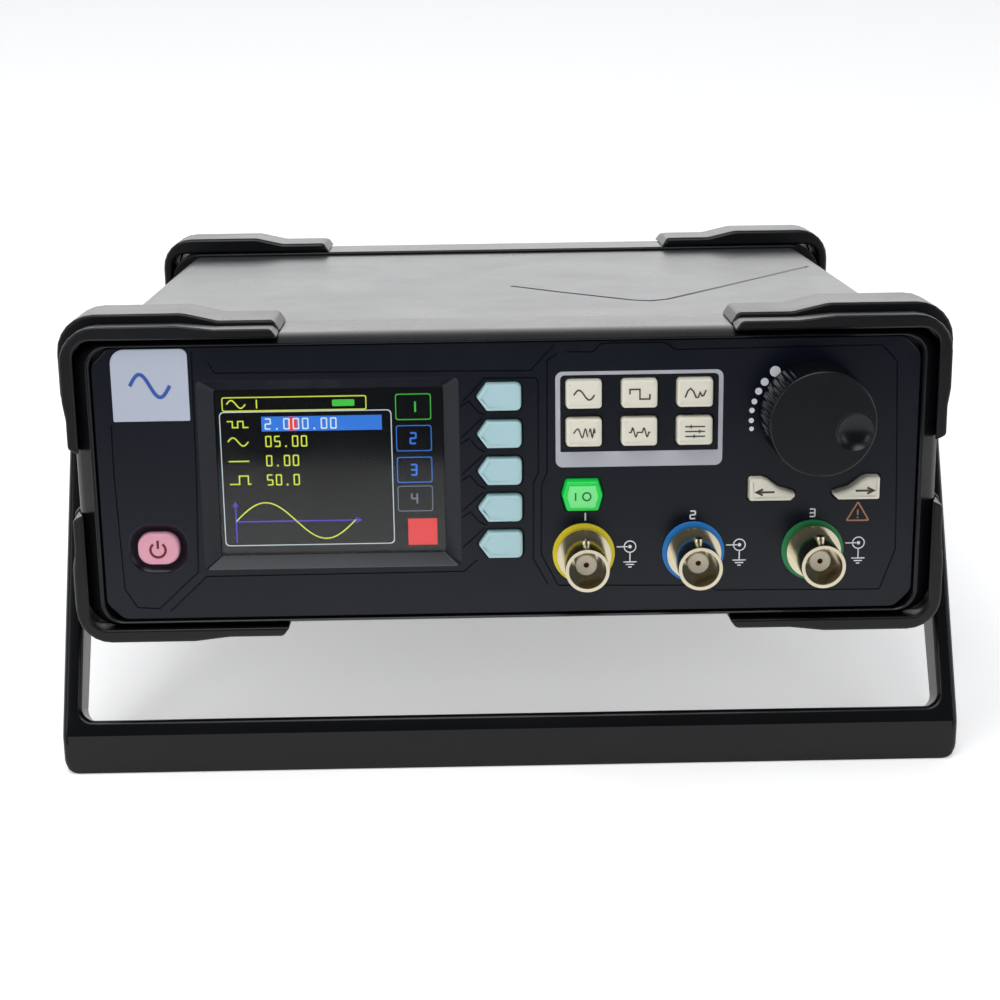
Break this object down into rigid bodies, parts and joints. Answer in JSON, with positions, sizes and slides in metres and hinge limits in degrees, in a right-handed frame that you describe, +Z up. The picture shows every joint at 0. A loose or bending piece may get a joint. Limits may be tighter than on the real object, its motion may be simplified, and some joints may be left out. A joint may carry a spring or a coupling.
{
  "type": "function generator",
  "caption": "Bench function generator with a colour display, push keys, a tuning knob and BNC sockets, propped up on its swinging handle.",
  "frame": {"origin": "on the bench, under the middle of the whole instrument", "axes": "+Z up, +X to the right of someone facing the panel, +Y from the panel to the back; the case stands tilted back with its front raised on the handle"},
  "size_m": [0.21, 0.1992, 0.1061],
  "materials": {
    "bumper": "satin",
    "frame_plastic": "satin",
    "cover_plastic": "satin",
    "panel_plastic": "satin",
    "rear_panel_plastic": "satin",
    "handle_plastic": "satin",
    "cyan_key": "satin",
    "cream_key": "satin",
    "green_key": "translucent, lit from behind",
    "pink_key": "translucent",
    "knob_plastic": "satin",
    "window": "polished",
    "display_glass": "polished",
    "bnc_metal": "polished nickel",
    "yellow_ring": "satin",
    "blue_ring": "satin",
    "green_ring": "satin",
    "insulator": "satin",
    "contact": "gold plated",
    "circuit_board": "solder mask",
    "black_moulding": "satin",
    "ribbon": "satin",
    "hub_plastic": "satin",
    "sink": "anodised",
    "steel": "zinc plated"
  },
  "bodies": {
    "case": {"front_frame": "frame_plastic", "front_upper_left_bumper": "bumper", "front_upper_right_bumper": "bumper", "front_lower_left_bumper": "bumper", "front_lower_right_bumper": "bumper", "rear_frame": "frame_plastic", "rear_upper_left_bumper": "bumper", "rear_upper_right_bumper": "bumper", "rear_lower_left_bumper": "bumper", "rear_lower_right_bumper": "bumper", "upper_cover": "cover_plastic", "lower_cover": "cover_plastic", "frame_screws": "steel", "front_panel": "panel_plastic", "display_window": "window", "display_module": "display_glass", "key_switches": "black_moulding", "front_boards": "circuit_board", "encoder_body": "steel", "encoder_nut": "steel", "bnc_shell_first": "bnc_metal", "bnc_shell_second": "bnc_metal", "bnc_shell_third": "bnc_metal", "bnc_ring_first": "yellow_ring", "bnc_ring_second": "blue_ring", "bnc_ring_third": "green_ring", "bnc_insulators": "insulator", "bnc_contacts": "contact", "bnc_nuts": "bnc_metal", "pivot_screws": "steel", "pivot_hubs": "hub_plastic", "pivot_anchors": "frame_plastic", "rear_panel": "rear_panel_plastic", "power_jack": "black_moulding", "data_socket": "steel", "main_board": "circuit_board", "board_standoffs": "steel", "board_screws": "steel", "signal_shield": "steel", "heat_sink": "sink", "ribbon_cable": "ribbon"},
    "handle": {"handle_bail": "handle_plastic"},
    "dial": {"knob": "knob_plastic", "encoder_shaft": "steel"},
    "soft_key_1_cap": {"soft_key_1": "cyan_key"},
    "soft_key_2_cap": {"soft_key_2": "cyan_key"},
    "soft_key_3_cap": {"soft_key_3": "cyan_key"},
    "soft_key_4_cap": {"soft_key_4": "cyan_key"},
    "soft_key_5_cap": {"soft_key_5": "cyan_key"},
    "function_key_1_cap": {"function_key_1": "cream_key"},
    "function_key_2_cap": {"function_key_2": "cream_key"},
    "function_key_3_cap": {"function_key_3": "cream_key"},
    "function_key_4_cap": {"function_key_4": "cream_key"},
    "function_key_5_cap": {"function_key_5": "cream_key"},
    "function_key_6_cap": {"function_key_6": "cream_key"},
    "output_key_cap": {"output_key": "green_key"},
    "left_arrow_key_cap": {"left_arrow_key": "cream_key"},
    "right_arrow_key_cap": {"right_arrow_key": "cream_key"},
    "power_key_cap": {"power_key": "pink_key"}
  },
  "joints": [
    {"name": "handle_swing", "type": "hinge", "parent": "case", "child": "handle", "pos_m": [0, -0.03987, 0.06171], "axis": [1, 0, 0], "range_deg": [-206, 83]},
    {"name": "dial_turn", "type": "hinge", "parent": "case", "child": "dial", "pos_m": [0.0678, -0.07834, 0.08395], "axis": [0, -0.9817, 0.1906], "continuous": true},
    {"name": "soft_key_1_press", "type": "slide", "parent": "case", "child": "soft_key_1_cap", "axis": [0, 0.9817, -0.1906], "range_m": [0, 0.0008], "stiffness_N_per_m": 1000, "springref_m": -0.0005},
    {"name": "soft_key_2_press", "type": "slide", "parent": "case", "child": "soft_key_2_cap", "axis": [0, 0.9817, -0.1906], "range_m": [0, 0.0008], "stiffness_N_per_m": 1000, "springref_m": -0.0005},
    {"name": "soft_key_3_press", "type": "slide", "parent": "case", "child": "soft_key_3_cap", "axis": [0, 0.9817, -0.1906], "range_m": [0, 0.0008], "stiffness_N_per_m": 1000, "springref_m": -0.0005},
    {"name": "soft_key_4_press", "type": "slide", "parent": "case", "child": "soft_key_4_cap", "axis": [0, 0.9817, -0.1906], "range_m": [0, 0.0008], "stiffness_N_per_m": 1000, "springref_m": -0.0005},
    {"name": "soft_key_5_press", "type": "slide", "parent": "case", "child": "soft_key_5_cap", "axis": [0, 0.9817, -0.1906], "range_m": [0, 0.0008], "stiffness_N_per_m": 1000, "springref_m": -0.0005},
    {"name": "function_key_1_press", "type": "slide", "parent": "case", "child": "function_key_1_cap", "axis": [0, 0.9817, -0.1906], "range_m": [0, 0.0008], "stiffness_N_per_m": 1000, "springref_m": -0.0005},
    {"name": "function_key_2_press", "type": "slide", "parent": "case", "child": "function_key_2_cap", "axis": [0, 0.9817, -0.1906], "range_m": [0, 0.0008], "stiffness_N_per_m": 1000, "springref_m": -0.0005},
    {"name": "function_key_3_press", "type": "slide", "parent": "case", "child": "function_key_3_cap", "axis": [0, 0.9817, -0.1906], "range_m": [0, 0.0008], "stiffness_N_per_m": 1000, "springref_m": -0.0005},
    {"name": "function_key_4_press", "type": "slide", "parent": "case", "child": "function_key_4_cap", "axis": [0, 0.9817, -0.1906], "range_m": [0, 0.0008], "stiffness_N_per_m": 1000, "springref_m": -0.0005},
    {"name": "function_key_5_press", "type": "slide", "parent": "case", "child": "function_key_5_cap", "axis": [0, 0.9817, -0.1906], "range_m": [0, 0.0008], "stiffness_N_per_m": 1000, "springref_m": -0.0005},
    {"name": "function_key_6_press", "type": "slide", "parent": "case", "child": "function_key_6_cap", "axis": [0, 0.9817, -0.1906], "range_m": [0, 0.0008], "stiffness_N_per_m": 1000, "springref_m": -0.0005},
    {"name": "output_key_press", "type": "slide", "parent": "case", "child": "output_key_cap", "axis": [0, 0.9817, -0.1906], "range_m": [0, 0.0008], "stiffness_N_per_m": 1000, "springref_m": -0.0005},
    {"name": "left_arrow_key_press", "type": "slide", "parent": "case", "child": "left_arrow_key_cap", "axis": [0, 0.9817, -0.1906], "range_m": [0, 0.0008], "stiffness_N_per_m": 1000, "springref_m": -0.0005},
    {"name": "right_arrow_key_press", "type": "slide", "parent": "case", "child": "right_arrow_key_cap", "axis": [0, 0.9817, -0.1906], "range_m": [0, 0.0008], "stiffness_N_per_m": 1000, "springref_m": -0.0005},
    {"name": "power_key_press", "type": "slide", "parent": "case", "child": "power_key_cap", "axis": [0, 0.9817, -0.1906], "range_m": [0, 0.0008], "stiffness_N_per_m": 1000, "springref_m": -0.0005}
  ]
}
